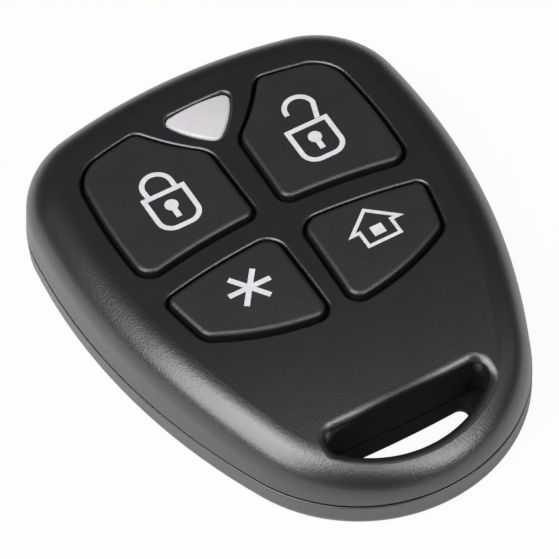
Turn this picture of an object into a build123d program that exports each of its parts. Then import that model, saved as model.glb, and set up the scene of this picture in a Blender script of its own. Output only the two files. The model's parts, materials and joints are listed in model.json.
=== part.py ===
from build123d import *
import math
import os

# Four-key alarm remote control: a pebble-shaped fob with a slot for a key ring.
# The origin is the centre of the rest face, +Y points to the wide end with the
# indicator lens, and +Z points out of the keys. Lengths are in millimetres.

os.makedirs("parts", exist_ok=True)

# Casing outline: four arcs a side, each running into the next without a corner
length = 57.8
wide_end_radius = 58.5
corner_radius = 10.5
corner_centre_y = 17.1
side_radius = 70.7
tail_radius = 17.15

# Casing section
face_height = 9.8
parting_height = 3.1
wall = 1.4
rear_floor = 1.2
side_draft = 5.0
rear_draft = 1.5
shoulder_radius = 3.8
rear_edge_radius = 1.0
face_bend_y = -1.9
face_bend_radius = 100.0
cavity_tail_y = -18.4

# Seam between the two shells, and the lip that keys them together
seam_gap = 0.3
seam_edge_radius = 0.12
lip_inset = 0.72
lip_thickness = 0.63
lip_height = 1.1
lip_clearance = 0.03

# Key-ring slot: a crescent through both shells, shorter through the rear one
front_slot_half_length = 9.0
front_slot_corner_radius = 1.2
rear_slot_half_length = 7.0
rear_slot_corner_radius = 0.8
slot_head_y = -19.75
slot_head_sagitta = 0.2
slot_foot_radius = 13.2
slot_foot_y = -25.42
slot_rim_radius = 0.9
slot_rim_above = 5.8

# Key cluster: it follows the casing outline, split by two bowed or tapered bars
cluster_inset = 6.3
row_bar_middle_y = 4.55
row_bar_width = 3.0
row_bar_radius = 65.45
column_bar_half_width = 1.34
column_bar_taper = 1.2
cluster_foot_y = -8.75
cluster_foot_radius = 27.35
lens_side_centre = (15.15, 36.6)
lens_side_radius = 26.6
key_gap = 0.4
key_proud = 0.4
key_edge_radius = 0.5
key_corner_least = 0.3
opening_edge_radius = 0.3

# A point near each corner of a left-hand key, and the corner's radius
upper_key_corners = [((-7.1, 22.0), 1.3), ((-1.7, 16.0), 2.5), ((-1.4, 6.0), 1.3), ((-15.7, 4.4), 1.8)]
lower_key_corners = [((-1.3, 3.0), 2.0), ((-14.8, 1.2), 1.1), ((-13.5, -5.2), 1.8), ((-1.1, -8.7), 1.5)]

# Key construction below the face
key_travel = 0.25
flange_reach = 0.7
flange_thickness = 0.8
ceiling_clearance = 0.05
key_wall = 1.2
key_top_thickness = 1.2
nub_radius = 1.0
nub_rib_thickness = 0.7
nub_rib_length = 7.0

# Indicator lens
lens_inset = 6.35
lens_half_width = 4.2
lens_foot_y = 16.75
lens_flank_radius = 10.9
lens_corner_radius = 0.9
lens_foot_corner_radius = 1.1
lens_gap = 0.12
lens_dome_radius = 20.0
lens_dome_rise = 0.12
lens_edge_radius = 0.3
lens_flange_reach = 0.45
lens_flange_thickness = 0.5
lens_pipe_radius = 1.2
lens_pipe_gap = 0.1
lens_middle = (0.0, 20.2)

# Circuit board
board_underside = 4.95
board_thickness = 0.8
board_inset = 2.2
board_tail_y = -13.0
board_top = board_underside + board_thickness
post_radius = 0.9
post_places = [(-17.4, 9.0), (17.4, 9.0), (-14.2, -10.6), (14.2, -10.6)]

# Tact switch under each key
switch_side = 4.4
switch_base_height = 1.05
switch_well_radius = 1.75
switch_well_floor = 0.3
switch_cover_thickness = 0.15
switch_cover_skirt = 0.7
switch_terminal_size = (0.6, 0.9, 0.15)
switch_terminal_spread = 3.0
plunger_flange_radius = 1.45
plunger_flange_thickness = 0.3
plunger_stem_radius = 1.0
plunger_spare = 0.05
plunger_clearance = 0.02
plunger_hole_radius = 1.15
dome_radius = 1.6
dome_rise = 0.28
dome_thickness = 0.08

# Coin cell, 20 mm across and 3.2 mm high
cell_centre = (0.0, 10.6)
cell_radius = 10.0
cell_height = 3.2
cell_low = 1.5
cell_shell = 0.25
cell_cap_radius = 8.6
cell_crimp_radius = 9.05
cell_crimp_drop = 0.1
cell_cap_low = 2.1
cell_edge_radius = 0.4
clip_width = 6.0
clip_thickness = 0.25
clip_reach = 10.3
clip_gap = 0.4
cradle_radius = 10.8
cradle_wall = 0.8
cradle_height = 2.0
leaf_thickness = 0.15
leaf_length = 11.0
leaf_width = 3.0
leaf_dimple_radius = 1.0

# Parts on the circuit board
led_place = (0.0, 19.4)
led_size = (2.8, 3.2, 1.3)
led_window_radius = 1.1
led_window_depth = 0.5
led_edge_radius = 0.15
chip_place = (-5.4, -5.6)
chip_size = (8.6, 3.9, 1.4)
chip_standoff = 0.1
chip_pitch = 1.27
chip_leads_a_side = 7
chip_lead_width = 0.4
chip_lead_thickness = 0.2
chip_lead_reach = 1.05
chip_lead_shoulder = 0.35
chip_draft = 6.0
resistor_size = (2.0, 1.25, 0.5)
resistor_places = [(2.0, -3.0), (2.0, -5.0), (2.0, -7.0), (-9.0, -10.2), (-5.5, -10.2), (-2.0, -10.2)]
capacitor_size = (1.25, 2.0, 0.8)
capacitor_places = [(4.6, -10.4), (6.6, -10.4), (-11.6, -5.0), (-13.4, -5.0)]
transistor_place = (12.6, -3.6)
transistor_size = (2.9, 1.3, 0.95)
transistor_lead_size = (0.4, 0.6, 0.15)
resonator_place = (7.4, -4.4)
resonator_size = (5.0, 3.8, 1.5)
resonator_edge_radius = 0.4
resonator_lid_step = 0.3
resonator_lid_height = 0.6
trimmer_place = (10.2, -10.0)
trimmer_size = (3.2, 4.0, 1.0)
trimmer_rotor_radius = 1.3
trimmer_rotor_height = 0.4
trimmer_slot_width = 0.4
antenna_inset = 2.45
antenna_width = 0.7
antenna_thickness = 0.07
antenna_break_y = -6.0

# Case screw, driven from the rear into the front shell
screw_y = -15.9
screw_shank_radius = 0.9
screw_length = 5.2
screw_head_radius = 1.7
screw_head_height = 1.1
screw_head_edge_radius = 0.3
screw_recess_width = 0.5
screw_recess_length = 1.9
screw_recess_depth = 0.6
screw_hole_radius = 1.0
counterbore_radius = 1.95
counterbore_depth = 1.5
front_boss_radius = 2.7
rear_boss_radius = 2.4
boss_joint_height = 4.6

# Centres of the outline's arcs
wide_centre_y = length / 2 - wide_end_radius
tail_centre_y = tail_radius - length / 2
corner_centre_x = math.sqrt(
    (wide_end_radius - corner_radius) ** 2 - (corner_centre_y - wide_centre_y) ** 2
)
corner_reach = side_radius - corner_radius
tail_reach = side_radius - tail_radius
centre_span = math.hypot(corner_centre_x, corner_centre_y - tail_centre_y)
span_x = -corner_centre_x / centre_span
span_y = (tail_centre_y - corner_centre_y) / centre_span
span_along = (corner_reach**2 - tail_reach**2 + centre_span**2) / (2 * centre_span)
span_across = math.sqrt(corner_reach**2 - span_along**2)
side_centre_x = corner_centre_x + span_along * span_x + span_across * span_y
side_centre_y = corner_centre_y + span_along * span_y - span_across * span_x

# Directions, in degrees, in which one arc hands over to the next
wide_turn = math.degrees(math.atan2(corner_centre_y - wide_centre_y, corner_centre_x))
side_turn = math.degrees(
    math.atan2(corner_centre_y - side_centre_y, corner_centre_x - side_centre_x)
)
tail_turn = math.degrees(math.atan2(tail_centre_y - side_centre_y, -side_centre_x))

# Heights that follow from the section
front_low = parting_height + seam_gap / 2
rear_high = parting_height - seam_gap / 2
ceiling = face_height - wall
flange_high = ceiling - ceiling_clearance
flange_low = flange_high - flange_thickness
switch_top = board_top + switch_base_height + switch_cover_thickness
plunger_top = switch_top + key_travel + plunger_spare


def casing_profile(inset):
    """Casing outline at the seam, moved inwards by inset."""
    with BuildSketch() as profile:
        with BuildLine():
            CenterArc((0, wide_centre_y), wide_end_radius - inset, wide_turn, 90 - wide_turn)
            CenterArc(
                (corner_centre_x, corner_centre_y), corner_radius - inset, side_turn, wide_turn - side_turn
            )
            CenterArc((side_centre_x, side_centre_y), side_radius - inset, tail_turn, side_turn - tail_turn)
            CenterArc((0, tail_centre_y), tail_radius - inset, -90, 90 + tail_turn)
            mirror(about=Plane.YZ)
        make_face()
    return profile.sketch_local


def space_under_face(drop):
    """All the space below the key face, when that face is moved down by drop."""
    bend_angle = 20
    with BuildPart() as space:
        with BuildSketch(Plane.YZ):
            with BuildLine():
                bend = CenterArc(
                    (face_bend_y, face_height - face_bend_radius), face_bend_radius - drop, 90, bend_angle
                )
                Polyline(
                    bend @ 1,
                    (-length, (bend @ 1).Z),
                    (-length, -length),
                    (length, -length),
                    (length, face_height - drop),
                    bend @ 0,
                )
            make_face()
        extrude(amount=length, both=True)
    return space.part


def front_form(inset, low):
    """Outside form of the front shell, or its cavity when inset is the wall."""
    with BuildPart() as form:
        with BuildSketch(Plane.XY.offset(low)):
            add(casing_profile(inset))
        extrude(amount=face_height, taper=side_draft)
        add(space_under_face(inset), mode=Mode.INTERSECT)
        rim = form.edges().filter_by(GeomType.LINE, reverse=True)
        fillet(rim.filter_by_position(Axis.Z, low + 1, face_height + 1), radius=shoulder_radius - inset)
    return form.part


def slot_profile(half_length, corner):
    """Crescent opening for a key ring, at the tail."""
    with BuildSketch() as profile:
        with BuildLine():
            foot_centre_y = slot_foot_y + slot_foot_radius
            foot_end_y = foot_centre_y - math.sqrt(slot_foot_radius**2 - half_length**2)
            head_left = (-half_length, slot_head_y)
            head_right = (half_length, slot_head_y)
            foot_left = (-half_length, foot_end_y)
            foot_right = (half_length, foot_end_y)
            ThreePointArc(head_left, (0, slot_head_y - slot_head_sagitta), head_right)
            Line(head_right, foot_right)
            ThreePointArc(foot_right, (0, slot_foot_y), foot_left)
            Line(foot_left, head_left)
        make_face()
        fillet(profile.vertices(), radius=corner)
    return profile.sketch_local


def key_profile(side, upper, grow):
    """Outline of one key along the middle of its gap, grown by grow; side is -1 or 1."""
    column_slope = math.tan(math.radians(column_bar_taper))
    column_edge = -column_bar_half_width + grow
    row_centre_y = row_bar_middle_y - row_bar_radius
    with BuildSketch() as profile:
        add(casing_profile(cluster_inset - grow))
        with BuildLine():
            column_head = (column_edge - length * column_slope, length)
            column_foot = (column_edge + length * column_slope, -length)
            Polyline(column_foot, column_head, (length, length), (length, -length), close=True)
        make_face(mode=Mode.SUBTRACT)
        if upper:
            with Locations(lens_side_centre):
                Circle(lens_side_radius - grow, mode=Mode.SUBTRACT)
            with Locations((0, row_centre_y)):
                Circle(row_bar_radius + row_bar_width / 2 - grow, mode=Mode.SUBTRACT)
        else:
            with Locations((0, row_centre_y)):
                Circle(row_bar_radius - row_bar_width / 2 + grow, mode=Mode.INTERSECT)
            with Locations((0, cluster_foot_y + cluster_foot_radius)):
                Circle(cluster_foot_radius + grow, mode=Mode.INTERSECT)
        for corner, radius in upper_key_corners if upper else lower_key_corners:
            nearest = profile.vertices().sort_by_distance(Vector(*corner))[0]
            fillet(nearest, radius=max(radius + grow, key_corner_least))
        if side > 0:
            mirror(about=Plane.YZ, mode=Mode.REPLACE)
    return profile.sketch_local


def lens_profile(grow):
    """Rounded triangle of the indicator lens opening, grown by grow."""
    half_angle = math.degrees(math.asin(lens_half_width / (wide_end_radius - lens_inset)))
    with BuildSketch() as profile:
        with BuildLine():
            head = CenterArc(
                (0, wide_centre_y), wide_end_radius - lens_inset, 90 - half_angle, 2 * half_angle
            )
            RadiusArc(head @ 1, (0, lens_foot_y), -lens_flank_radius)
            RadiusArc((0, lens_foot_y), head @ 0, -lens_flank_radius)
        make_face()
        fillet(profile.vertices().group_by(Axis.Y)[-1], radius=lens_corner_radius)
        fillet(profile.vertices().group_by(Axis.Y)[0], radius=lens_foot_corner_radius)
        if grow:
            offset(amount=grow)
    return profile.sketch_local


def front_cavity():
    """Hollow of the front shell; the tail round the slot stays solid."""
    with BuildPart() as cavity:
        add(front_form(wall, front_low))
        split(bisect_by=Plane.XZ.offset(-cavity_tail_y), keep=Keep.BOTTOM)
    return cavity.part


def lip_profile(clearance):
    """Ring of the lip that joins the shells, widened on both sides by clearance."""
    with BuildSketch() as profile:
        add(casing_profile(lip_inset - clearance))
        add(casing_profile(lip_inset + lip_thickness + clearance), mode=Mode.SUBTRACT)
    return profile.sketch_local


# Which side of the fob each key is on, whether it is in the upper row, and its switch's place
keys = {
    "lock": (-1, True, (-8.5, 12.8)),
    "unlock": (1, True, (8.5, 12.8)),
    "star": (-1, False, (-7.9, -2.2)),
    "home": (1, False, (7.9, -2.2)),
}

# Front shell: one moulding with the key openings, the lens opening and the slot
with BuildPart() as front_shell:
    add(front_form(0, front_low))
    fillet(front_shell.edges().group_by(Axis.Z)[0], radius=seam_edge_radius)
    with BuildSketch():
        add(slot_profile(front_slot_half_length, front_slot_corner_radius))
    extrude(amount=2 * face_height, mode=Mode.SUBTRACT)
    slot_rim = front_shell.edges(Select.LAST).filter_by_position(Axis.Z, slot_rim_above, face_height)
    fillet(slot_rim, radius=slot_rim_radius)
    add(front_cavity(), mode=Mode.SUBTRACT)
    with BuildSketch(Plane.XY.offset(front_low)):
        add(lip_profile(lip_clearance))
    extrude(amount=lip_height, mode=Mode.SUBTRACT)
    with BuildSketch(Plane.XY.offset(boss_joint_height)):
        with Locations((0, screw_y)):
            Circle(front_boss_radius)
    extrude(amount=ceiling - wall / 2 - boss_joint_height)
    with BuildSketch(Plane.XY.offset(board_top)):
        with Locations(*post_places):
            Circle(post_radius)
    extrude(amount=ceiling - board_top)
    with Locations(Location((0, screw_y, boss_joint_height), (180, 0, 0))):
        Hole(screw_shank_radius, depth=counterbore_depth + screw_length - boss_joint_height)
    with BuildSketch(Plane.XY.offset(ceiling - wall)):
        add(lens_profile(0))
        for side, upper, place in keys.values():
            add(key_profile(side, upper, key_gap / 2))
    extrude(amount=face_height, mode=Mode.SUBTRACT)
    opening_edges = front_shell.edges(Select.LAST).filter_by(Axis.X, reverse=True)
    fillet(
        opening_edges.filter_by_position(Axis.Z, face_height - wall / 3, face_height),
        radius=opening_edge_radius,
    )
front_shell.part.label = "front_shell"
export_step(front_shell.part, "parts/front_shell.step")

# Rear shell: a tray with the lip, the board's posts, the cell's cradle and the screw boss
with BuildPart() as rear_shell:
    with BuildSketch(Plane.XY.offset(rear_high)):
        add(casing_profile(0))
    extrude(amount=-rear_high, taper=rear_draft)
    fillet(rear_shell.edges().group_by(Axis.Z)[0], radius=rear_edge_radius)
    fillet(rear_shell.edges().group_by(Axis.Z)[-1], radius=seam_edge_radius)
    with BuildSketch(Plane.XY.offset(rear_floor)):
        add(casing_profile(lip_inset + lip_thickness))
        with Locations((0, cavity_tail_y)):
            Rectangle(length, length, align=(Align.CENTER, Align.MIN), mode=Mode.INTERSECT)
    extrude(amount=rear_high, mode=Mode.SUBTRACT)
    with BuildSketch(Plane.XY.offset(rear_high)):
        add(lip_profile(0))
    extrude(amount=front_low + lip_height - rear_high)
    with BuildSketch(Plane.XY.offset(rear_floor)):
        with Locations(*post_places):
            Circle(post_radius)
    extrude(amount=board_underside - rear_floor)
    with BuildSketch(Plane.XY.offset(rear_floor)):
        with Locations((0, screw_y)):
            Circle(rear_boss_radius)
    extrude(amount=boss_joint_height - rear_floor)
    with BuildSketch(Plane.XY.offset(rear_floor)):
        with Locations(cell_centre):
            Circle(cradle_radius + cradle_wall)
            Circle(cradle_radius, mode=Mode.SUBTRACT)
            Rectangle(4 * cell_radius, clip_width + 2 * clip_gap, mode=Mode.SUBTRACT)
    extrude(amount=cradle_height)
    with Locations(Location((0, screw_y, 0), (180, 0, 0))):
        CounterBoreHole(screw_hole_radius, counterbore_radius, counterbore_depth, depth=boss_joint_height)
    with BuildSketch():
        add(slot_profile(rear_slot_half_length, rear_slot_corner_radius))
    extrude(amount=2 * parting_height, mode=Mode.SUBTRACT)
    fillet(rear_shell.edges(Select.LAST).group_by(Axis.Z)[0], radius=slot_rim_radius)
rear_shell.part.label = "rear_shell"
export_step(rear_shell.part, "parts/rear_shell.step")

# Case screw: pan head with a cross recess, seated in the rear shell's counterbore
with BuildPart() as case_screw:
    with BuildSketch(Plane.XY.offset(counterbore_depth - screw_head_height)):
        with Locations((0, screw_y)):
            Circle(screw_head_radius)
    extrude(amount=screw_head_height)
    fillet(case_screw.edges().group_by(Axis.Z)[0], radius=screw_head_edge_radius)
    with BuildSketch(Plane.XY.offset(counterbore_depth)):
        with Locations((0, screw_y)):
            Circle(screw_shank_radius)
    extrude(amount=screw_length)
    chamfer(case_screw.edges().group_by(Axis.Z)[-1], length=screw_shank_radius / 2)
    with BuildSketch(Plane.XY.offset(counterbore_depth - screw_head_height)):
        with Locations((0, screw_y)):
            Rectangle(screw_recess_length, screw_recess_width)
            Rectangle(screw_recess_width, screw_recess_length)
    extrude(amount=screw_recess_depth, mode=Mode.SUBTRACT)
case_screw.part.label = "case_screw"
export_step(case_screw.part, "parts/case_screw.step")

# Indicator lens: a shallow dome in the face, a flange behind it and a light pipe to the LED
with BuildPart() as indicator_lens:
    with BuildSketch(Plane.XY.offset(flange_high - lens_flange_thickness)):
        add(lens_profile(-lens_gap))
    extrude(amount=wall * 2)
    with Locations((*lens_middle, face_height + lens_dome_rise - lens_dome_radius)):
        Sphere(lens_dome_radius, mode=Mode.INTERSECT)
    fillet(indicator_lens.faces().sort_by(Axis.Z)[-1].edges(), radius=lens_edge_radius)
    with BuildSketch(Plane.XY.offset(flange_high - lens_flange_thickness)):
        add(lens_profile(lens_flange_reach))
    extrude(amount=lens_flange_thickness)
    pipe_low = board_top + led_size[2] + lens_pipe_gap
    with BuildSketch(Plane.XY.offset(pipe_low)):
        with Locations(led_place):
            Circle(lens_pipe_radius)
    extrude(amount=flange_high - lens_flange_thickness - pipe_low)
indicator_lens.part.label = "indicator_lens"
export_step(indicator_lens.part, "parts/indicator_lens.step")


def key_flange(side, upper):
    """Flange that keeps a key in its opening; its top follows the shell's ceiling."""
    with BuildPart() as flange:
        with BuildSketch(Plane.XY.offset(flange_low)):
            add(key_profile(side, upper, flange_reach - key_gap / 2))
        extrude(amount=2 * flange_thickness)
        add(space_under_face(wall + ceiling_clearance), mode=Mode.INTERSECT)
    return flange.part


# Keys: a cap that stands proud of the face, hollow behind, with a ribbed nub on its switch
for name, (side, upper, place) in keys.items():
    hollow_high = face_height + key_proud - key_top_thickness
    with BuildPart() as key:
        with BuildSketch(Plane.XY.offset(flange_low)):
            add(key_profile(side, upper, -key_gap / 2))
        extrude(amount=face_height)
        add(space_under_face(-key_proud), mode=Mode.INTERSECT)
        top_edges = key.edges().filter_by(Axis.X, reverse=True)
        fillet(
            top_edges.filter_by_position(Axis.Z, face_height - key_proud, face_height + 1),
            radius=key_edge_radius,
        )
        add(key_flange(side, upper))
        with BuildSketch(Plane.XY.offset(flange_low)):
            add(key_profile(side, upper, -key_gap / 2 - key_wall))
        extrude(amount=hollow_high - flange_low, mode=Mode.SUBTRACT)
        with BuildSketch(Plane.XY.offset(flange_low)):
            with Locations(place):
                Rectangle(nub_rib_length, nub_rib_thickness)
                Rectangle(nub_rib_thickness, nub_rib_length)
        extrude(amount=hollow_high - flange_low)
        with BuildSketch(Plane.XY.offset(plunger_top)):
            with Locations(place):
                Circle(nub_radius)
        extrude(amount=hollow_high - plunger_top)
    key.part.label = name + "_key"
    export_step(key.part, "parts/" + name + "_key.step")

# Tact switches: moulded base, snap dome, plunger and pressed cover, one set under each key
for name, (side, upper, place) in keys.items():
    well_floor = board_top + switch_well_floor
    with BuildPart() as switch_base:
        with BuildSketch(Plane.XY.offset(board_top)):
            with Locations(place):
                Rectangle(switch_side, switch_side)
        extrude(amount=switch_base_height)
        with BuildSketch(Plane.XY.offset(well_floor)):
            with Locations(place):
                Circle(switch_well_radius)
        extrude(amount=switch_base_height, mode=Mode.SUBTRACT)
    switch_base.part.label = name + "_switch_base"
    export_step(switch_base.part, "parts/" + name + "_switch_base.step")

    with BuildPart() as switch_dome:
        with BuildSketch(Plane(origin=(*place, well_floor), x_dir=(1, 0, 0), z_dir=(0, -1, 0))):
            with BuildLine():
                ThreePointArc((-dome_radius, 0), (0, dome_rise), (dome_radius, 0))
                inner_radius = dome_radius - 2 * dome_thickness
                ThreePointArc((-inner_radius, 0), (0, dome_rise - dome_thickness), (inner_radius, 0))
                Line((-dome_radius, 0), (-inner_radius, 0))
                Line((dome_radius, 0), (inner_radius, 0))
            make_face()
            Rectangle(dome_radius * 2, dome_rise * 4, align=(Align.MIN, Align.CENTER), mode=Mode.INTERSECT)
        revolve(axis=Axis((*place, 0), (0, 0, 1)))
    switch_dome.part.label = name + "_switch_dome"
    export_step(switch_dome.part, "parts/" + name + "_switch_dome.step")

    with BuildPart() as switch_plunger:
        plunger_low = well_floor + dome_rise + plunger_clearance
        with BuildSketch(Plane.XY.offset(plunger_low)):
            with Locations(place):
                Circle(plunger_flange_radius)
        extrude(amount=plunger_flange_thickness)
        with BuildSketch(Plane.XY.offset(plunger_low)):
            with Locations(place):
                Circle(plunger_stem_radius)
        extrude(amount=plunger_top - plunger_low)
    switch_plunger.part.label = name + "_switch_plunger"
    export_step(switch_plunger.part, "parts/" + name + "_switch_plunger.step")

    with BuildPart() as switch_cover:
        cover_low = board_top + switch_base_height
        with BuildSketch(Plane.XY.offset(cover_low)):
            with Locations(place):
                Rectangle(switch_side + 2 * switch_cover_thickness, switch_side)
                Circle(plunger_hole_radius, mode=Mode.SUBTRACT)
        extrude(amount=switch_cover_thickness)
        with BuildSketch(Plane.XY.offset(cover_low - switch_cover_skirt)):
            with Locations(place):
                Rectangle(switch_side + 2 * switch_cover_thickness, switch_side / 2)
                Rectangle(switch_side, switch_side, mode=Mode.SUBTRACT)
        extrude(amount=switch_cover_skirt)
    switch_cover.part.label = name + "_switch_cover"
    export_step(switch_cover.part, "parts/" + name + "_switch_cover.step")

# Solder terminals of all the switches, four to a switch
with BuildPart() as switch_terminals:
    width, reach, thickness = switch_terminal_size
    with BuildSketch(Plane.XY.offset(board_top)):
        with Locations(*[place for side, upper, place in keys.values()]):
            with GridLocations(switch_terminal_spread, switch_side + reach, 2, 2):
                Rectangle(width, reach)
    extrude(amount=thickness)
switch_terminals.part.label = "switch_terminals"
export_step(switch_terminals.part, "parts/switch_terminals.step")

# Circuit board, with the casing's outline down to a straight edge above the screw boss
with BuildPart() as circuit_board:
    with BuildSketch(Plane.XY.offset(board_underside)):
        add(casing_profile(board_inset))
        with Locations((0, board_tail_y)):
            Rectangle(length, length, align=(Align.CENTER, Align.MIN), mode=Mode.INTERSECT)
    extrude(amount=board_thickness)
circuit_board.part.label = "circuit_board"
export_step(circuit_board.part, "parts/circuit_board.step")

# Loop antenna: a printed track round the board's edge, open towards the tail
with BuildPart() as loop_antenna:
    with BuildSketch(Plane.XY.offset(board_top)):
        add(casing_profile(antenna_inset))
        add(casing_profile(antenna_inset + antenna_width), mode=Mode.SUBTRACT)
        with Locations((0, antenna_break_y)):
            Rectangle(length, length, align=(Align.CENTER, Align.MIN), mode=Mode.INTERSECT)
    extrude(amount=antenna_thickness)
loop_antenna.part.label = "loop_antenna"
export_step(loop_antenna.part, "parts/loop_antenna.step")

# Status LED: a white body with a round well, and its clear window
with BuildPart() as status_led:
    with BuildSketch(Plane.XY.offset(board_top)):
        with Locations(led_place):
            Rectangle(led_size[0], led_size[1])
    extrude(amount=led_size[2])
    fillet(status_led.edges().filter_by(Axis.Z), radius=led_edge_radius)
    with BuildSketch(Plane.XY.offset(board_top + led_size[2])):
        with Locations(led_place):
            Circle(led_window_radius)
    extrude(amount=-led_window_depth, mode=Mode.SUBTRACT)
status_led.part.label = "status_led"
export_step(status_led.part, "parts/status_led.step")

with BuildPart() as led_window:
    with BuildSketch(Plane.XY.offset(board_top + led_size[2])):
        with Locations(led_place):
            Circle(led_window_radius)
    extrude(amount=-led_window_depth)
led_window.part.label = "led_window"
export_step(led_window.part, "parts/led_window.step")

# Coin cell: each piece is turned about the cell's axis from its half section
cell_plane = Plane(origin=(*cell_centre, cell_low), x_dir=(1, 0, 0), z_dir=(0, -1, 0))
cell_axis = Axis((*cell_centre, 0), (0, 0, 1))
crimp_top = cell_height - cell_crimp_drop

with BuildPart() as cell_can:
    with BuildSketch(cell_plane):
        with BuildLine():
            Polyline(
                (0, 0),
                (cell_radius, 0),
                (cell_radius, crimp_top),
                (cell_crimp_radius, crimp_top),
                (cell_crimp_radius, crimp_top - cell_shell),
                (cell_radius - cell_shell, crimp_top - cell_shell),
                (cell_radius - cell_shell, cell_shell),
                (0, cell_shell),
                close=True,
            )
        make_face()
    revolve(axis=cell_axis)
    fillet(cell_can.edges().filter_by(GeomType.CIRCLE).group_by(Axis.Z)[0], radius=cell_edge_radius)
cell_can.part.label = "cell_can"
export_step(cell_can.part, "parts/cell_can.step")

with BuildPart() as cell_cap:
    with BuildSketch(cell_plane):
        with BuildLine():
            Polyline(
                (0, cell_height),
                (cell_cap_radius, cell_height),
                (cell_cap_radius, cell_cap_low),
                (cell_cap_radius - cell_shell, cell_cap_low),
                (cell_cap_radius - cell_shell, cell_height - cell_shell),
                (0, cell_height - cell_shell),
                close=True,
            )
        make_face()
    revolve(axis=cell_axis)
cell_cap.part.label = "cell_cap"
export_step(cell_cap.part, "parts/cell_cap.step")

with BuildPart() as cell_gasket:
    with BuildSketch(cell_plane):
        with Locations((cell_cap_radius, cell_cap_low)):
            Rectangle(
                cell_crimp_radius - cell_cap_radius,
                crimp_top - cell_cap_low,
                align=(Align.MIN, Align.MIN),
            )
    revolve(axis=cell_axis)
cell_gasket.part.label = "cell_gasket"
export_step(cell_gasket.part, "parts/cell_gasket.step")

with BuildPart() as cell_electrodes:
    with BuildSketch(Plane.XY.offset(cell_low + cell_shell)):
        with Locations(cell_centre):
            Circle(cell_cap_radius - cell_shell)
    extrude(amount=cell_height - 2 * cell_shell)
cell_electrodes.part.label = "cell_electrodes"
export_step(cell_electrodes.part, "parts/cell_electrodes.step")

# Cell clip: a strap under the can with a leg up to the board on each side
with BuildPart() as cell_clip:
    strap_low = cell_low - clip_thickness
    with BuildSketch(Plane(origin=(0, cell_centre[1], 0), x_dir=(1, 0, 0), z_dir=(0, -1, 0))):
        with Locations((0, strap_low)):
            Rectangle(
                2 * (clip_reach + clip_thickness),
                board_underside - strap_low,
                align=(Align.CENTER, Align.MIN),
            )
        with Locations((0, cell_low)):
            Rectangle(
                2 * clip_reach, board_underside, align=(Align.CENTER, Align.MIN), mode=Mode.SUBTRACT
            )
    extrude(amount=clip_width / 2, both=True)
cell_clip.part.label = "cell_clip"
export_step(cell_clip.part, "parts/cell_clip.step")

# Cell leaf: a strip on the board's underside with a dimple on the cell's cap
with BuildPart() as cell_leaf:
    leaf_low = board_underside - leaf_thickness
    with BuildSketch(Plane.XY.offset(leaf_low)):
        with Locations(cell_centre):
            SlotOverall(leaf_length, leaf_width)
    extrude(amount=leaf_thickness)
    with BuildSketch(Plane.XY.offset(cell_low + cell_height)):
        with Locations(cell_centre):
            Circle(leaf_dimple_radius)
    extrude(amount=leaf_low - cell_low - cell_height)
cell_leaf.part.label = "cell_leaf"
export_step(cell_leaf.part, "parts/cell_leaf.step")

# Encoder chip under the board: moulded body, and gull-wing leads on its two long sides
chip_high = board_underside - chip_standoff
chip_middle_z = chip_high - chip_size[2] / 2
with BuildPart() as encoder_chip:
    with BuildSketch(Plane.XY.offset(chip_middle_z)):
        with Locations(chip_place):
            Rectangle(chip_size[0], chip_size[1])
    extrude(amount=chip_size[2] / 2, both=True, taper=chip_draft)
encoder_chip.part.label = "encoder_chip"
export_step(encoder_chip.part, "parts/encoder_chip.step")

with BuildPart() as chip_leads:
    half_body = chip_size[1] / 2
    riser = half_body + chip_lead_shoulder
    low = chip_middle_z - chip_lead_thickness / 2
    lead_x = chip_place[0] - (chip_leads_a_side - 1) * chip_pitch / 2
    for index in range(chip_leads_a_side):
        section = Plane(
            origin=(lead_x + index * chip_pitch, chip_place[1], 0), x_dir=(0, 1, 0), z_dir=(1, 0, 0)
        )
        with BuildSketch(section):
            with BuildLine():
                Polyline(
                    (half_body, low),
                    (riser, low),
                    (riser, board_underside - chip_lead_thickness),
                    (half_body + chip_lead_reach, board_underside - chip_lead_thickness),
                    (half_body + chip_lead_reach, board_underside),
                    (riser - chip_lead_thickness, board_underside),
                    (riser - chip_lead_thickness, low + chip_lead_thickness),
                    (half_body, low + chip_lead_thickness),
                    close=True,
                )
            make_face()
            mirror(about=Plane.YZ)
        extrude(amount=chip_lead_width / 2, both=True)
chip_leads.part.label = "chip_leads"
export_step(chip_leads.part, "parts/chip_leads.step")


def under_board(size, places):
    """Flat blocks soldered to the board's underside, all of one size."""
    with BuildPart() as blocks:
        with BuildSketch(Plane.XY.offset(board_underside)):
            with Locations(*places):
                Rectangle(size[0], size[1])
        extrude(amount=-size[2])
    return blocks.part


with BuildPart() as chip_resistors:
    add(under_board(resistor_size, resistor_places))
chip_resistors.part.label = "chip_resistors"
export_step(chip_resistors.part, "parts/chip_resistors.step")

with BuildPart() as chip_capacitors:
    add(under_board(capacitor_size, capacitor_places))
chip_capacitors.part.label = "chip_capacitors"
export_step(chip_capacitors.part, "parts/chip_capacitors.step")

# Transmitter transistor: one lead on one long side and two on the other
with BuildPart() as transistor:
    add(under_board(transistor_size, [transistor_place]))
    lead_width, lead_reach, lead_thickness = transistor_lead_size
    lead_y = transistor_size[1] / 2 + lead_reach / 2
    lead_x = transistor_size[0] / 3
    with BuildSketch(Plane.XY.offset(board_underside)):
        with Locations(transistor_place):
            with Locations((0, lead_y), (-lead_x, -lead_y), (lead_x, -lead_y)):
                Rectangle(lead_width, lead_reach)
    extrude(amount=-lead_thickness)
transistor.part.label = "transistor"
export_step(transistor.part, "parts/transistor.step")

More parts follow.
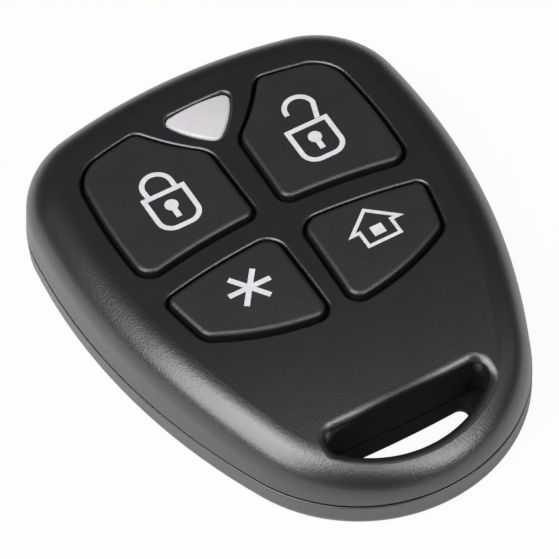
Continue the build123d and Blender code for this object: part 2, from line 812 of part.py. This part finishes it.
# Resonator: a ceramic base with a smaller metal lid
with BuildPart() as resonator:
    lid_low = resonator_size[2] - resonator_lid_height
    add(under_board((resonator_size[0], resonator_size[1], lid_low), [resonator_place]))
    with BuildSketch(Plane.XY.offset(board_underside - lid_low)):
        with Locations(resonator_place):
            RectangleRounded(
                resonator_size[0] - 2 * resonator_lid_step,
                resonator_size[1] - 2 * resonator_lid_step,
                resonator_edge_radius,
            )
    extrude(amount=-resonator_lid_height)
resonator.part.label = "resonator"
export_step(resonator.part, "parts/resonator.step")

# Trimmer capacitor: a square body, and a slotted rotor that sets the frequency
with BuildPart() as trimmer_body:
    add(under_board(trimmer_size, [trimmer_place]))
trimmer_body.part.label = "trimmer_body"
export_step(trimmer_body.part, "parts/trimmer_body.step")

with BuildPart() as trimmer_rotor:
    rotor_high = board_underside - trimmer_size[2]
    with BuildSketch(Plane.XY.offset(rotor_high)):
        with Locations(trimmer_place):
            Circle(trimmer_rotor_radius)
    extrude(amount=-trimmer_rotor_height)
    with BuildSketch(Plane.XY.offset(rotor_high - trimmer_rotor_height)):
        with Locations(trimmer_place):
            Rectangle(2 * trimmer_rotor_radius, trimmer_slot_width)
    extrude(amount=trimmer_rotor_height / 2, mode=Mode.SUBTRACT)
trimmer_rotor.part.label = "trimmer_rotor"
export_step(trimmer_rotor.part, "parts/trimmer_rotor.step")
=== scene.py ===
import json
import math

import bmesh
import bpy
from mathutils import Matrix, Vector


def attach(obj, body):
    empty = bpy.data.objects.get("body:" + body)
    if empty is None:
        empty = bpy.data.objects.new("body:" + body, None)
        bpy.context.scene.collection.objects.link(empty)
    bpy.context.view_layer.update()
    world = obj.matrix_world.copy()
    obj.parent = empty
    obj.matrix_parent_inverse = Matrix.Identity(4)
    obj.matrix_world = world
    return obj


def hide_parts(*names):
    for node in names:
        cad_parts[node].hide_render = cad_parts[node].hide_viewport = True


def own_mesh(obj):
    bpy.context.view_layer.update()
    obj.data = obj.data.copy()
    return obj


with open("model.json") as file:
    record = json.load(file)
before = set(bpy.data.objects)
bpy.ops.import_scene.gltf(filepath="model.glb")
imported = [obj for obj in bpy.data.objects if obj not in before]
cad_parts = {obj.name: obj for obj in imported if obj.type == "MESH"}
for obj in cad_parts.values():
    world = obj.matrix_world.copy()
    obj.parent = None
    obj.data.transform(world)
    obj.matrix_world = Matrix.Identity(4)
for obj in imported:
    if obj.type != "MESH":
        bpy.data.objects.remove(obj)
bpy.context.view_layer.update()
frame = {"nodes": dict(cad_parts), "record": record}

MM = 0.001

# Camera: where the photograph was taken from. Angles are in degrees, its place in metres, its focal
# length and the centre of its picture in pixels of the photograph, and its sensor in millimetres.
PHOTO_SIZE = 559
CAMERA_AZIMUTH = -25.955
CAMERA_ELEVATION = 51.510
CAMERA_ROLL = -4.364
CAMERA_DISTANCE = 0.500
CAMERA_AIM = Vector((0.0, 0.00411, 0.0))
CAMERA_FOCAL_PIXELS = 4875.0
CAMERA_CENTRE = (5.509, 2.489)
CAMERA_CLIP = (0.01, 10.0)
SENSOR_WIDTH = 36.0

# Bent surface of the key tops, in millimetres
KEY_TOP = 10.2
FACE_BEND_Y = -1.9
FACE_BEND_RADIUS = 100.4


# Materials

# Middle of the key-ring slot, how far its dull walls with painted shade reach from it in millimetres, and
# their soft edge
SLOT_CENTRE = (0.0, -21.5, 4.0)
SLOT_REACH = (11.5, 4.9, 5.0)
SLOT_EDGE = (0.85, 1.05)

# Depths under the key tops, in millimetres, between which a key's side turns dull and darkened with painted
# shade
KEY_SIDE_DEPTHS = (0.13, 0.30)

# Satin plastic: height of its grain in millimetres, cells a metre, and where it is dull, its colour
# darkened with painted shade and its roughness
GRAIN_RELIEF = 0.022
GRAIN_CELLS = 4200
PAINTED_SHADE_COLOUR = (0.0030, 0.0026, 0.0034)
DULL_ROUGHNESS = 0.9

# Stretch of a noise's values that is mapped to a range
NOISE_MIDDLE = (0.3, 0.7)

# A mix node's two values and its result, by the kind of value
MIX_SOCKETS = {"FLOAT": (2, 3, 0), "RGBA": (6, 7, 2)}


def new_material(name):
    """A material with an empty node tree and one Principled shader on the output."""
    material = bpy.data.materials.new(name)
    material.use_nodes = True
    tree = material.node_tree
    tree.nodes.clear()
    output = tree.nodes.new("ShaderNodeOutputMaterial")
    shader = tree.nodes.new("ShaderNodeBsdfPrincipled")
    tree.links.new(shader.outputs["BSDF"], output.inputs["Surface"])
    return material, tree, shader


def calculate(tree, operation, *values):
    """Result of a math operation on values that are numbers or outputs of nodes."""
    node = tree.nodes.new("ShaderNodeMath")
    node.operation = operation
    for socket, value in zip(node.inputs, values):
        if isinstance(value, float):
            socket.default_value = value
        else:
            tree.links.new(value, socket)
    return node.outputs["Value"]


def length(tree, vector):
    """Length of a vector."""
    node = tree.nodes.new("ShaderNodeVectorMath")
    node.operation = "LENGTH"
    tree.links.new(vector, node.inputs[0])
    return node.outputs["Value"]


def step(tree, value, start, end):
    """0 where the value is below the start and 1 where it is past the end, with a smooth rise."""
    node = tree.nodes.new("ShaderNodeMapRange")
    node.interpolation_type = "SMOOTHSTEP"
    node.inputs["From Min"].default_value = start
    node.inputs["From Max"].default_value = end
    tree.links.new(value, node.inputs["Value"])
    return node.outputs["Result"]


def blend(tree, kind, factor, fixed, varied):
    """Mix of a fixed value, taken where the factor is 0, and a node's output, taken where it is 1."""
    node = tree.nodes.new("ShaderNodeMix")
    node.data_type = kind
    first, second, result = MIX_SOCKETS[kind]
    node.inputs[first].default_value = fixed
    tree.links.new(factor, node.inputs[0])
    tree.links.new(varied, node.inputs[second])
    return node.outputs[result]


def object_space(tree):
    """Place on the object, in its own space and in metres."""
    return tree.nodes.new("ShaderNodeTexCoord").outputs["Object"]


def placed(tree, location, scale):
    """Place on the object, scaled and then moved."""
    node = tree.nodes.new("ShaderNodeMapping")
    node.inputs["Location"].default_value = location
    node.inputs["Scale"].default_value = scale
    tree.links.new(object_space(tree), node.inputs["Vector"])
    return node.outputs["Vector"]


def noise(tree, scale, detail, stretch=(1, 1, 1)):
    """Noise in the object's own space, with the given number of cells a metre."""
    texture = tree.nodes.new("ShaderNodeTexNoise")
    texture.inputs["Scale"].default_value = scale
    texture.inputs["Detail"].default_value = detail
    tree.links.new(placed(tree, (0, 0, 0), stretch), texture.inputs["Vector"])
    return texture.outputs["Fac"]


def ramp(tree, value, low, high, start=0.35, end=0.65):
    """Blend of two colours by a value."""
    node = tree.nodes.new("ShaderNodeValToRGB")
    node.color_ramp.elements[0].position = start
    node.color_ramp.elements[0].color = (*low, 1)
    node.color_ramp.elements[1].position = end
    node.color_ramp.elements[1].color = (*high, 1)
    tree.links.new(value, node.inputs["Fac"])
    return node.outputs["Color"]


def spread(tree, value, low, high):
    """The middle stretch of a noise's values, mapped to the range from low to high."""
    node = tree.nodes.new("ShaderNodeMapRange")
    node.inputs["From Min"].default_value, node.inputs["From Max"].default_value = NOISE_MIDDLE
    node.inputs["To Min"].default_value = low
    node.inputs["To Max"].default_value = high
    tree.links.new(value, node.inputs["Value"])
    return node.outputs["Result"]


def bump(tree, shader, height, relief):
    """Bump with the given height of relief in millimetres."""
    node = tree.nodes.new("ShaderNodeBump")
    node.inputs["Strength"].default_value = 1.0
    node.inputs["Distance"].default_value = relief * MM
    tree.links.new(height, node.inputs["Height"])
    tree.links.new(node.outputs["Normal"], shader.inputs["Normal"])


def surface(name, dark, light, roughness, relief, cells, metallic=0.0, stretch=(1, 1, 1), patches=250):
    """A finish with fine relief in millimetres, slow colour variation and uneven roughness."""
    material, tree, shader = new_material(name)
    shader.inputs["Metallic"].default_value = metallic
    slow = noise(tree, patches, detail=3)
    fine = noise(tree, cells, detail=4, stretch=stretch)
    tree.links.new(ramp(tree, slow, dark, light), shader.inputs["Base Color"])
    tree.links.new(spread(tree, fine, *roughness), shader.inputs["Roughness"])
    bump(tree, shader, fine, relief)
    return material, shader


def plain(name, dark, light, roughness, **options):
    """A finish that needs no more than its surface."""
    material, shader = surface(name, dark, light, roughness, **options)
    return material


def beyond_slot(tree):
    """0 within an oval space round the key-ring slot, where the walls are dull with painted shade, and 1
    outside it.
    """
    location = [-c / r for c, r in zip(SLOT_CENTRE, SLOT_REACH)]
    scale = [1 / (r * MM) for r in SLOT_REACH]
    return step(tree, length(tree, placed(tree, location, scale)), *SLOT_EDGE)


def on_key_tops(tree):
    """1 on the tops of the keys with their rounded edges and 0 down their sides, which are dull with
    painted shade.
    """
    apart = tree.nodes.new("ShaderNodeSeparateXYZ")
    tree.links.new(object_space(tree), apart.inputs["Vector"])
    past_bend = calculate(tree, "SUBTRACT", apart.outputs["Y"], FACE_BEND_Y * MM)
    height = calculate(tree, "ADD", apart.outputs["Z"], (FACE_BEND_RADIUS - KEY_TOP) * MM)
    from_axis = tree.nodes.new("ShaderNodeCombineXYZ")
    tree.links.new(calculate(tree, "MINIMUM", past_bend, 0.0), from_axis.inputs["Y"])
    tree.links.new(height, from_axis.inputs["Z"])
    high, low = [(FACE_BEND_RADIUS - depth) * MM for depth in KEY_SIDE_DEPTHS]
    return step(tree, length(tree, from_axis.outputs["Vector"]), low, high)


def satin_plastic(name, dark, light, roughness, sheen, gloss, lustre_outside_painted_shade_in):
    """Moulded plastic with fine grain under a sheen of the given roughness and strength.

    It is dull, with its colour darkened to painted shade, where the mask that its last argument makes gives
    0.
    """
    material, shader = surface(name, dark, light, roughness, GRAIN_RELIEF, GRAIN_CELLS)
    tree = material.node_tree
    shader.inputs["Specular IOR Level"].default_value = 0.3
    shader.inputs["Coat Roughness"].default_value = sheen
    shader.inputs["Coat IOR"].default_value = 2.0
    lustre_outside_painted_shade = lustre_outside_painted_shade_in(tree)
    tree.links.new(calculate(tree, "MULTIPLY", lustre_outside_painted_shade, gloss), shader.inputs["Coat Weight"])
    tree.links.new(shader.inputs["Normal"].links[0].from_socket, shader.inputs["Coat Normal"])
    # Where the mask is 0 the base colour turns near black as painted shade, and the roughness rises to a
    # dull finish
    finish = (("Base Color", "RGBA", (*PAINTED_SHADE_COLOUR, 1)), ("Roughness", "FLOAT", DULL_ROUGHNESS))
    for channel, kind, dull in finish:
        varied = shader.inputs[channel].links[0].from_socket
        tree.links.new(blend(tree, kind, lustre_outside_painted_shade, dull, varied), shader.inputs[channel])
    return material


def shell_plastic(name):
    """Plastic of the two shells, dull in the key-ring slot and darkened there with painted shade."""
    return satin_plastic(
        name, (0.0056, 0.0044, 0.0062), (0.0077, 0.0062, 0.0085), (0.30, 0.36),
        sheen=0.33, gloss=1.0, lustre_outside_painted_shade_in=beyond_slot,
    )


def key_plastic(name):
    """Plastic of the keys, dull down their sides and darkened there with painted shade."""
    return satin_plastic(
        name, (0.0150, 0.0126, 0.0160), (0.0185, 0.0158, 0.0198), (0.40, 0.46),
        sheen=0.42, gloss=0.55, lustre_outside_painted_shade_in=on_key_tops,
    )


def lens_plastic(name):
    """Milky moulded lens, polished, a little light passing through it."""
    material, shader = surface(
        name, (0.65, 0.63, 0.655), (0.69, 0.67, 0.695), (0.28, 0.34),
        relief=0.0004, cells=2500, patches=120,
    )
    shader.inputs["Subsurface Weight"].default_value = 0.35
    shader.inputs["Subsurface Scale"].default_value = 1.2 * MM
    shader.inputs["Coat Weight"].default_value = 0.25
    shader.inputs["Coat Roughness"].default_value = 0.15
    return material


def circuit_board_resist(name):
    """Green solder resist over glass cloth: the weave shows as a faint grid."""
    material, tree, shader = new_material(name)
    place = object_space(tree)
    waves = []
    for direction in ("X", "Y"):
        wave = tree.nodes.new("ShaderNodeTexWave")
        wave.bands_direction = direction
        wave.inputs["Scale"].default_value = 420
        tree.links.new(place, wave.inputs["Vector"])
        waves.append(wave.outputs["Fac"])
    weave = calculate(tree, "MULTIPLY", *waves)
    colour = ramp(tree, weave, (0.006, 0.07, 0.022), (0.012, 0.11, 0.036), start=0.1, end=0.9)
    tree.links.new(colour, shader.inputs["Base Color"])
    tree.links.new(spread(tree, noise(tree, 3000, detail=3), 0.22, 0.34), shader.inputs["Roughness"])
    bump(tree, shader, weave, relief=0.004)
    return material


def clear_resin(name):
    """Clear resin window of the LED, with a faint cloud in it."""
    material, shader = surface(
        name, (0.82, 0.78, 0.6), (0.9, 0.87, 0.75), (0.04, 0.1),
        relief=0.0005, cells=3000,
    )
    shader.inputs["Transmission Weight"].default_value = 0.7
    shader.inputs["IOR"].default_value = 1.5
    return material


materials = {
    "casing": shell_plastic("casing_plastic"),
    "key": key_plastic("key_plastic"),
    "lens": lens_plastic("lens_plastic"),
    "board": circuit_board_resist("solder_resist"),
    "copper": plain(
        "tinned_copper", (0.62, 0.36, 0.22), (0.76, 0.5, 0.33), (0.25, 0.4),
        relief=0.002, cells=6000, metallic=1.0,
    ),
    "led_body": plain(
        "white_resin", (0.72, 0.71, 0.68), (0.82, 0.81, 0.78), (0.35, 0.5),
        relief=0.002, cells=8000,
    ),
    "led_window": clear_resin("clear_resin"),
    "cell_steel": plain(
        "nickel_plate", (0.62, 0.61, 0.59), (0.72, 0.71, 0.69), (0.2, 0.36),
        relief=0.002, cells=2500, metallic=1.0, stretch=(1, 6, 1),
    ),
    "cell_filling": plain(
        "pressed_powder", (0.03, 0.03, 0.032), (0.07, 0.07, 0.075), (0.6, 0.8),
        relief=0.01, cells=7000,
    ),
    "black_plastic": plain(
        "black_moulding", (0.010, 0.010, 0.011), (0.018, 0.018, 0.019), (0.4, 0.55),
        relief=0.003, cells=9000,
    ),
    "spring_steel": plain(
        "spring_steel", (0.5, 0.5, 0.48), (0.62, 0.61, 0.58), (0.22, 0.4),
        relief=0.002, cells=3000, metallic=1.0, stretch=(8, 1, 1),
    ),
    "tinned_steel": plain(
        "tin_plate", (0.66, 0.66, 0.65), (0.78, 0.78, 0.77), (0.25, 0.42),
        relief=0.002, cells=5000, metallic=1.0,
    ),
    "ceramic": plain(
        "ceramic", (0.36, 0.25, 0.14), (0.48, 0.35, 0.21), (0.45, 0.6),
        relief=0.003, cells=9000, patches=900,
    ),
    "resonator_steel": plain(
        "plated_lid", (0.6, 0.57, 0.5), (0.72, 0.69, 0.6), (0.16, 0.3),
        relief=0.001, cells=4000, metallic=1.0,
    ),
    "screw_steel": plain(
        "blackened_steel", (0.05, 0.05, 0.052), (0.10, 0.10, 0.102), (0.3, 0.48),
        relief=0.003, cells=7000, metallic=1.0,
    ),
    "plunger_plastic": plain(
        "plunger_moulding", (0.010, 0.010, 0.011), (0.02, 0.02, 0.021), (0.35, 0.45),
        relief=0.002, cells=9000,
    ),
}
print_white = plain(
    "print_white", (0.69, 0.67, 0.70), (0.77, 0.75, 0.78), (0.45, 0.6),
    relief=0.003, cells=12000, patches=1500,
)

for entry in frame["record"]["subparts"]:
    node = frame["nodes"][entry["node"]]
    node.data.materials.clear()
    node.data.materials.append(materials[entry["material_slot"]])


# Switch domes


def snap_dome(name):
    """Dome of a key's switch, copied and held on the casing in place of the part's own, and not flattened
    when its plunger presses it.
    """
    node = name + "_switch_dome"
    dome = bpy.data.objects.new(name + "_dome", frame["nodes"][node].data.copy())
    bpy.context.scene.collection.objects.link(dome)
    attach(dome, "casing")
    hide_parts(node)
    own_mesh(dome)


for key_name in ("lock", "unlock", "star", "home"):
    snap_dome(key_name)


# Key symbols

# Print: its height over the key, how far it goes into it, and how near points are joined, in millimetres
PRINT_THICKNESS = 0.03
PRINT_DEPTH = 0.04
MERGE_DISTANCE = 0.001

# Straight pieces in a rounded corner, and in a half circle or more
CORNER_STEPS = 12
ROUND_STEPS = 24


def key_top(y):
    """Height of the key tops at y, in millimetres."""
    beyond = min(y - FACE_BEND_Y, 0)
    return KEY_TOP - FACE_BEND_RADIUS + math.sqrt(FACE_BEND_RADIUS**2 - beyond**2)


def symbol(name, body, shapes):
    """White print on a key.

    Each shape is a list of faces, and each face a list of (x, y) points in millimetres.
    """
    mesh = bpy.data.meshes.new(name)
    form = bmesh.new()
    for faces in shapes:
        for face in faces:
            form.faces.new([form.verts.new((x, y, key_top(y) + PRINT_THICKNESS)) for x, y in face])
    bmesh.ops.remove_doubles(form, verts=form.verts, dist=MERGE_DISTANCE)
    bmesh.ops.triangulate(form, faces=[f for f in form.faces if len(f.verts) > 4])
    for face in form.faces:
        face.normal_update()
        if face.normal.z < 0:
            face.normal_flip()
    rim = [edge for edge in form.edges if edge.is_boundary]
    walls = bmesh.ops.extrude_edge_only(form, edges=rim)["geom"]
    for vertex in (v for v in walls if isinstance(v, bmesh.types.BMVert)):
        vertex.co.z -= PRINT_THICKNESS + PRINT_DEPTH
    bmesh.ops.scale(form, vec=(MM, MM, MM), verts=form.verts)
    form.to_mesh(mesh)
    form.free()
    mesh.materials.append(print_white)
    piece = bpy.data.objects.new(name, mesh)
    bpy.context.scene.collection.objects.link(piece)
    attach(piece, body)


def arc(centre, radius, start, end, steps):
    """Points on an arc between two angles in degrees."""
    angles = [math.radians(start + (end - start) * i / steps) for i in range(steps + 1)]
    return [(centre[0] + radius * math.cos(a), centre[1] + radius * math.sin(a)) for a in angles]


def beside(points, distance, closed):
    """Points moved sideways to the left of the line through them, with mitred corners."""
    moved = []
    count = len(points)
    for i, point in enumerate(points):
        here = Vector(point)
        before = Vector(points[i - 1]) if closed or i > 0 else None
        after = Vector(points[(i + 1) % count]) if closed or i < count - 1 else None
        arriving = (here - before).normalized() if before else (after - here).normalized()
        leaving = (after - here).normalized() if after else arriving
        left_in = Vector((-arriving.y, arriving.x))
        left_out = Vector((-leaving.y, leaving.x))
        middle = (left_in + left_out).normalized()
        moved.append(tuple(here + middle * distance / middle.dot(left_in)))
    return moved


def stroke(points, width, closed=False):
    """Faces of a line of constant width along the points."""
    left = beside(points, width / 2, closed)
    right = beside(points, -width / 2, closed)
    count = len(points)
    last = count if closed else count - 1
    return [[left[i], right[i], right[(i + 1) % count], left[(i + 1) % count]] for i in range(last)]


def padlock(centre_x, foot_y, shackle, right_foot, left_foot):
    """Outline of a padlock's body, its shackle round a centre and down to two feet, and a keyhole."""
    line = 0.555
    half, height, corner = 2.24, 4.65, 1.5
    shackle_radius = 1.58
    hole_height, hole_radius, opening_angle = 2.87, 0.73, 25
    flare_height, flare_half = 1.13, 0.31
    top = foot_y + height
    body = [(centre_x - half, top)]
    body += arc((centre_x - half + corner, foot_y + corner), corner, 180, 270, CORNER_STEPS)
    body += arc((centre_x + half - corner, foot_y + corner), corner, 270, 360, CORNER_STEPS)
    body += [(centre_x + half, top)]
    bow = [right_foot] + arc(shackle, shackle_radius, 0, 180, ROUND_STEPS) + [left_foot]
    hole = (centre_x, foot_y + hole_height)
    keyhole = arc(hole, hole_radius, opening_angle - 90, 270 - opening_angle, ROUND_STEPS)
    keyhole += [(centre_x + side * flare_half, foot_y + flare_height) for side in (-1, 1)]
    return [stroke(body, line, closed=True), stroke(bow, line), [keyhole]]


def asterisk(centre, reach, width, lean):
    """Outline of one level bar and two leaning ones, crossed at their middles."""
    middle = Vector(centre)
    arms = [0, lean, 180 - lean, 180, 180 + lean, 360 - lean, 360]
    outline = []
    for arm, following in zip(arms, arms[1:]):
        angle, half_gap = math.radians(arm), math.radians(following - arm) / 2
        along = Vector((math.cos(angle), math.sin(angle)))
        left = Vector((-along.y, along.x)) * width / 2
        between = Vector((math.cos(angle + half_gap), math.sin(angle + half_gap)))
        corner = between * width / 2 / math.sin(half_gap)
        outline += [middle + along * reach - left, middle + along * reach + left, middle + corner]
    return [[outline]]


def house(centre_x, foot_y):
    """Outline of a house with wide eaves, and a window in it."""
    line = 0.39
    wall, height, eave, ridge = 1.83, 1.96, 2.72, 4.32
    window_middle, window_half_width, window_half_height = 1.44, 0.67, 0.64
    outline = [
        (centre_x - wall, foot_y),
        (centre_x + wall, foot_y),
        (centre_x + wall, foot_y + height),
        (centre_x + eave, foot_y + height),
        (centre_x, foot_y + ridge),
        (centre_x - eave, foot_y + height),
        (centre_x - wall, foot_y + height),
    ]
    window = [
        (centre_x + x * window_half_width, foot_y + window_middle + y * window_half_height)
        for x, y in ((-1, -1), (1, -1), (1, 1), (-1, 1))
    ]
    return [stroke(outline, line, closed=True), [window]]


lock_outline = padlock(
    centre_x=-8.48, foot_y=8.66, shackle=(-8.57, 14.43), right_foot=(-6.98, 13.58), left_foot=(-10.1, 13.58)
)
unlock_outline = padlock(
    centre_x=8.37, foot_y=8.88, shackle=(8.89, 15.88), right_foot=(9.82, 13.8), left_foot=(7.3, 15.6)
)
symbol("lock_symbol", "lock_button", lock_outline)
symbol("unlock_symbol", "unlock_button", unlock_outline)
symbol("star_symbol", "star_button", asterisk(centre=(-6.91, -1.91), reach=2.37, width=0.585, lean=54.2))
symbol("home_symbol", "home_button", house(centre_x=7.75, foot_y=-3.62))


# Floor, lights and camera

# Floor and lights, in metres; the gap keeps the floor's face clear of the object's
FLOOR_SIZE = 3.0
FLOOR_GAP = 0.02 * MM
LIGHT_DISTANCE = 0.5

# How far the floor turns into a plain white glow, by the kind of ray that meets it
FLOOR_GLOW = (("Is Camera Ray", 0.95), ("Is Glossy Ray", 0.12), ("Is Transmission Ray", 0.12))


def floor_material():
    """Pale floor that keeps the object's soft shadow, near white to the camera."""
    material, tree, shader = new_material("floor_paper")
    shader.inputs["Roughness"].default_value = 0.9
    colour = ramp(tree, noise(tree, 6, detail=2), (0.62, 0.62, 0.62), (0.65, 0.65, 0.65))
    tree.links.new(colour, shader.inputs["Base Color"])
    glow = tree.nodes.new("ShaderNodeEmission")
    glow.inputs["Color"].default_value = (1, 1, 1, 1)
    glow.inputs["Strength"].default_value = 1.0
    path = tree.nodes.new("ShaderNodeLightPath")
    share = 0.0
    for ray, part in FLOOR_GLOW:
        share = calculate(tree, "MULTIPLY_ADD", path.outputs[ray], part, share)
    mix = tree.nodes.new("ShaderNodeMixShader")
    tree.links.new(share, mix.inputs["Fac"])
    tree.links.new(shader.outputs["BSDF"], mix.inputs[1])
    tree.links.new(glow.outputs["Emission"], mix.inputs[2])
    output = next(node for node in tree.nodes if node.type == "OUTPUT_MATERIAL")
    tree.links.new(mix.outputs["Shader"], output.inputs["Surface"])
    return material


floor_mesh = bpy.data.meshes.new("floor")
floor_form = bmesh.new()
bmesh.ops.create_grid(floor_form, x_segments=4, y_segments=4, size=FLOOR_SIZE / 2)
floor_form.to_mesh(floor_mesh)
floor_form.free()
floor_mesh.materials.append(floor_material())
floor = bpy.data.objects.new("floor", floor_mesh)
floor.location.z = -FLOOR_GAP
bpy.context.scene.collection.objects.link(floor)


def softbox(name, azimuth, elevation, size, power):
    """Soft box turned to the object, with its size in metres and its power in watts.

    The azimuth runs from +X towards +Y, in degrees.
    """
    light = bpy.data.lights.new(name, "AREA")
    light.shape = "RECTANGLE"
    light.size, light.size_y = size
    light.energy = power
    turn, rise = math.radians(azimuth), math.radians(elevation)
    towards = Vector((math.cos(turn) * math.cos(rise), math.sin(turn) * math.cos(rise), math.sin(rise)))
    lamp = bpy.data.objects.new(name, light)
    lamp.location = towards * LIGHT_DISTANCE
    lamp.rotation_mode = "QUATERNION"
    lamp.rotation_quaternion = towards.to_track_quat("Z", "Y")
    bpy.context.scene.collection.objects.link(lamp)


softbox("left_box", azimuth=-174, elevation=46, size=(0.42, 0.54), power=2.6)
softbox("overhead_box", azimuth=-165, elevation=79, size=(0.26, 0.26), power=0.50)
softbox("front_strip", azimuth=-65, elevation=43, size=(0.16, 0.42), power=0.92)
softbox("right_box", azimuth=-12, elevation=42, size=(0.20, 0.35), power=0.06)

world = bpy.data.worlds.new("studio")
bpy.context.scene.world = world
world.use_nodes = True
world.node_tree.nodes["Background"].inputs["Color"].default_value = (0.95, 0.97, 1.0, 1)
world.node_tree.nodes["Background"].inputs["Strength"].default_value = 0.06


def photo_camera():
    """Camera with the place, turn and focal length of the photograph's."""
    azimuth, elevation = math.radians(CAMERA_AZIMUTH), math.radians(CAMERA_ELEVATION)
    roll = math.radians(CAMERA_ROLL)
    flat = math.cos(elevation)
    back = Vector((math.sin(azimuth) * flat, -math.cos(azimuth) * flat, math.sin(elevation)))
    level = Vector((math.cos(azimuth), math.sin(azimuth), 0))
    upright = back.cross(level)
    right = level * math.cos(roll) + upright * math.sin(roll)
    up = upright * math.cos(roll) - level * math.sin(roll)
    data = bpy.data.cameras.new("camera")
    data.sensor_width = SENSOR_WIDTH
    data.lens = SENSOR_WIDTH * CAMERA_FOCAL_PIXELS / PHOTO_SIZE
    data.clip_start, data.clip_end = CAMERA_CLIP
    camera = bpy.data.objects.new("camera", data)
    pixel = CAMERA_DISTANCE / CAMERA_FOCAL_PIXELS
    place = CAMERA_AIM + back * CAMERA_DISTANCE
    place += (up * CAMERA_CENTRE[1] - right * CAMERA_CENTRE[0]) * pixel
    turn = Matrix((right, up, back)).transposed().to_4x4()
    camera.matrix_world = Matrix.Translation(place) @ turn
    bpy.context.scene.collection.objects.link(camera)
    bpy.context.scene.camera = camera


photo_camera()
bpy.context.scene.view_settings.view_transform = "Standard"
